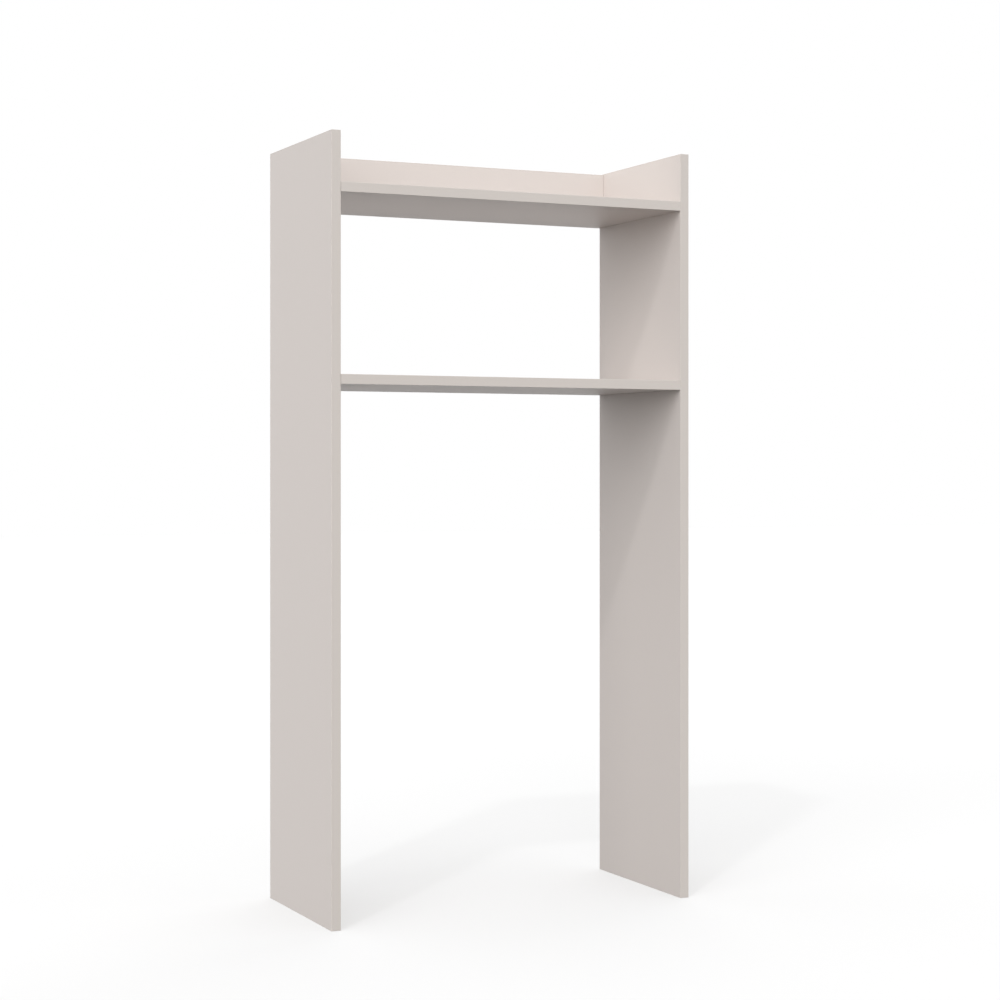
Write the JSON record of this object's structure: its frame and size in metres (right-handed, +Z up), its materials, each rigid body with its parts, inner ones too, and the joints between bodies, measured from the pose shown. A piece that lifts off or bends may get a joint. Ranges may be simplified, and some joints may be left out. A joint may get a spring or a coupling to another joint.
{
  "type": "washing machine cabinet",
  "caption": "Open shelf cabinet that stands over a washing machine: full-height side panels, shelves above an open bay, and a low rail at the back of the top tray.",
  "frame": {"origin": "on the floor, at the middle of the cabinet's footprint", "axes": "+Z up, -Y out of the front towards the user, +Y to the wall, +X to the right as seen from the front"},
  "size_m": [0.655, 0.3, 1.28],
  "materials": {
    "board_melamine": "matte melamine face on chipboard, warm light grey",
    "edge_band": "matte plastic edge band in the boards' colour",
    "cam_zinc": "die-cast zinc, satin",
    "bolt_steel": "turned steel, bright zinc plated",
    "dowel_beech": "raw fluted beech",
    "cap_plastic": "satin moulded plastic in the boards' colour"
  },
  "bodies": {
    "root": {"back_rail": "board_melamine", "back_rail_foot_left_dowel": "dowel_beech", "back_rail_foot_middle_dowel": "dowel_beech", "back_rail_foot_right_dowel": "dowel_beech", "back_rail_left_cam_bolt": "bolt_steel", "back_rail_left_cam_lock": "cam_zinc", "back_rail_left_dowel": "dowel_beech", "back_rail_right_cam_bolt": "bolt_steel", "back_rail_right_cam_lock": "cam_zinc", "back_rail_right_dowel": "dowel_beech", "back_rail_top_edge_band": "edge_band", "left_side_back_edge_band": "edge_band", "left_side_bottom_edge_band": "edge_band", "left_side_front_edge_band": "edge_band", "left_side_panel": "board_melamine", "left_side_top_edge_band": "edge_band", "lower_shelf": "board_melamine", "lower_shelf_back_edge_band": "edge_band", "lower_shelf_front_edge_band": "edge_band", "lower_shelf_left_back_cam_bolt": "bolt_steel", "lower_shelf_left_back_cam_lock": "cam_zinc", "lower_shelf_left_back_dowel": "dowel_beech", "lower_shelf_left_front_cam_bolt": "bolt_steel", "lower_shelf_left_front_cam_lock": "cam_zinc", "lower_shelf_left_front_dowel": "dowel_beech", "lower_shelf_right_back_cam_bolt": "bolt_steel", "lower_shelf_right_back_cam_lock": "cam_zinc", "lower_shelf_right_back_dowel": "dowel_beech", "lower_shelf_right_front_cam_bolt": "bolt_steel", "lower_shelf_right_front_cam_lock": "cam_zinc", "lower_shelf_right_front_dowel": "dowel_beech", "right_side_back_edge_band": "edge_band", "right_side_bottom_edge_band": "edge_band", "right_side_front_edge_band": "edge_band", "right_side_panel": "board_melamine", "right_side_top_edge_band": "edge_band", "upper_shelf": "board_melamine", "upper_shelf_back_edge_band": "edge_band", "upper_shelf_front_edge_band": "edge_band", "upper_shelf_left_back_cam_bolt": "bolt_steel", "upper_shelf_left_back_cam_cap": "cap_plastic", "upper_shelf_left_back_cam_lock": "cam_zinc", "upper_shelf_left_back_dowel": "dowel_beech", "upper_shelf_left_front_cam_bolt": "bolt_steel", "upper_shelf_left_front_cam_cap": "cap_plastic", "upper_shelf_left_front_cam_lock": "cam_zinc", "upper_shelf_left_front_dowel": "dowel_beech", "upper_shelf_right_back_cam_bolt": "bolt_steel", "upper_shelf_right_back_cam_cap": "cap_plastic", "upper_shelf_right_back_cam_lock": "cam_zinc", "upper_shelf_right_back_dowel": "dowel_beech", "upper_shelf_right_front_cam_bolt": "bolt_steel", "upper_shelf_right_front_cam_cap": "cap_plastic", "upper_shelf_right_front_cam_lock": "cam_zinc", "upper_shelf_right_front_dowel": "dowel_beech"}
  },
  "joints": []
}
